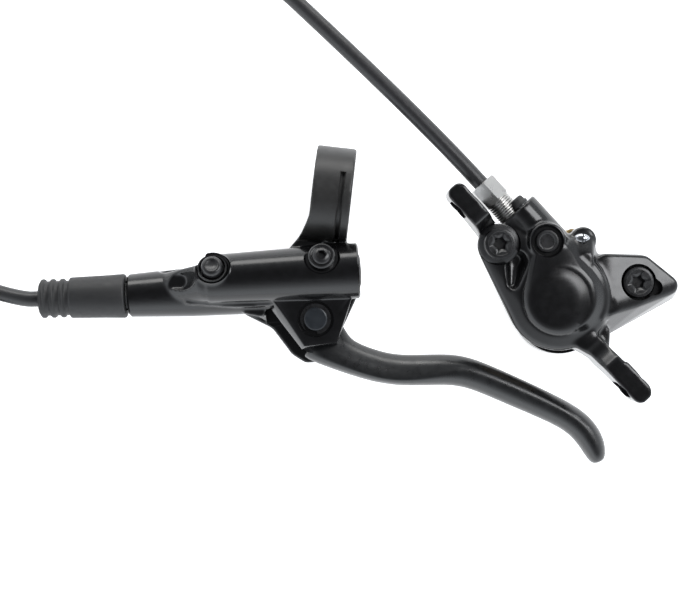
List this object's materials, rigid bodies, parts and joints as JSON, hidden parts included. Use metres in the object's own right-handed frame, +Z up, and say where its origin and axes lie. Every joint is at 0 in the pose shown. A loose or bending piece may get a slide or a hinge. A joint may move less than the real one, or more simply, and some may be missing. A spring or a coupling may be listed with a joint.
{
  "type": "hydraulic disc brake",
  "caption": "Bicycle hydraulic disc brake: left-hand lever with master cylinder, hose and two-piston post-mount caliper, laid flat with the spare hose coiled.",
  "frame": {"origin": "centre of the handlebar clamp's bore", "axes": "+Z up from the surface that the brake lies on, along the lever's pivot pin; +X towards the blade's tip and the caliper; the bar runs 6.5 degrees off +X"},
  "size_m": [0.2776, 0.1836, 0.04],
  "materials": {
    "body_paint": "gloss",
    "blade_paint": "satin",
    "black_steel": "satin",
    "anodised_black": "satin",
    "nickel": "bright",
    "brass": "satin",
    "rubber": "matte",
    "hose": "semi-gloss",
    "bearing_plastic": "matte",
    "piston_alloy": "satin",
    "piston_ceramic": "matte",
    "pad_steel": "satin",
    "friction": "matte"
  },
  "bodies": {
    "root": {"lever_body": "body_paint", "clamp_bolt": "black_steel", "reservoir_end_cap": "anodised_black", "reservoir_diaphragm": "rubber", "fill_plug": "anodised_black", "bleed_screw": "black_steel", "pivot_pin": "black_steel", "pivot_snap_ring": "black_steel", "piston_retaining_ring": "black_steel", "return_spring": "nickel", "lever_connecting_bolt": "nickel", "lever_olive": "brass", "lever_barb": "nickel", "hose_cover": "rubber", "caliper_outer_half": "body_paint", "caliper_inner_half": "body_paint", "near_body_bolt": "black_steel", "far_body_bolt": "black_steel", "bore_plug": "anodised_black", "crossover_o_ring": "rubber", "split_pin": "nickel", "bleed_nipple": "nickel", "bleed_nipple_cap": "rubber", "outer_piston_seal": "rubber", "inner_piston_seal": "rubber", "pad_spring": "nickel", "caliper_connecting_bolt": "nickel", "caliper_olive": "brass", "caliper_barb": "nickel", "hose_lever_run": "hose", "hose_caliper_run": "hose", "hose_coil": "hose"},
    "lever": {"lever_blade": "blade_paint", "pivot_bush": "bearing_plastic", "push_rod_nut": "black_steel", "reach_adjust_screw": "black_steel"},
    "master_piston": {"master_piston": "piston_alloy", "primary_cup": "rubber", "secondary_cup": "rubber", "push_rod": "black_steel"},
    "outer_pad": {"outer_piston": "piston_ceramic", "outer_pad_plate": "pad_steel", "outer_pad_lining": "friction"},
    "inner_pad": {"inner_piston": "piston_ceramic", "inner_pad_plate": "pad_steel", "inner_pad_lining": "friction"}
  },
  "joints": [
    {"name": "lever_pull", "type": "hinge", "parent": "root", "child": "lever", "pos_m": [-0.0051, -0.0391, -0.0031], "axis": [0, 0, 1], "range_deg": [0, 9], "stiffness_Nm_per_rad": 0.15, "springref_deg": -11.46},
    {"name": "master_piston_slide", "type": "slide", "parent": "root", "child": "master_piston", "axis": [-0.9981, -0.061, 0], "range_m": [0, 0.00172], "deforming": ["return_spring"]},
    {"name": "outer_pad_slide", "type": "slide", "parent": "root", "child": "outer_pad", "axis": [0, 0, -1], "range_m": [0, 0.000142], "deforming": ["pad_spring"]},
    {"name": "inner_pad_slide", "type": "slide", "parent": "root", "child": "inner_pad", "axis": [0, 0, 1], "range_m": [0, 0.000142]}
  ],
  "couplings": [
    {"joint": "master_piston_slide", "follows": "lever_pull", "m_per_rad": 0.0109},
    {"joint": "outer_pad_slide", "follows": "lever_pull", "m_per_rad": 0.0009},
    {"joint": "inner_pad_slide", "follows": "lever_pull", "m_per_rad": 0.0009}
  ]
}
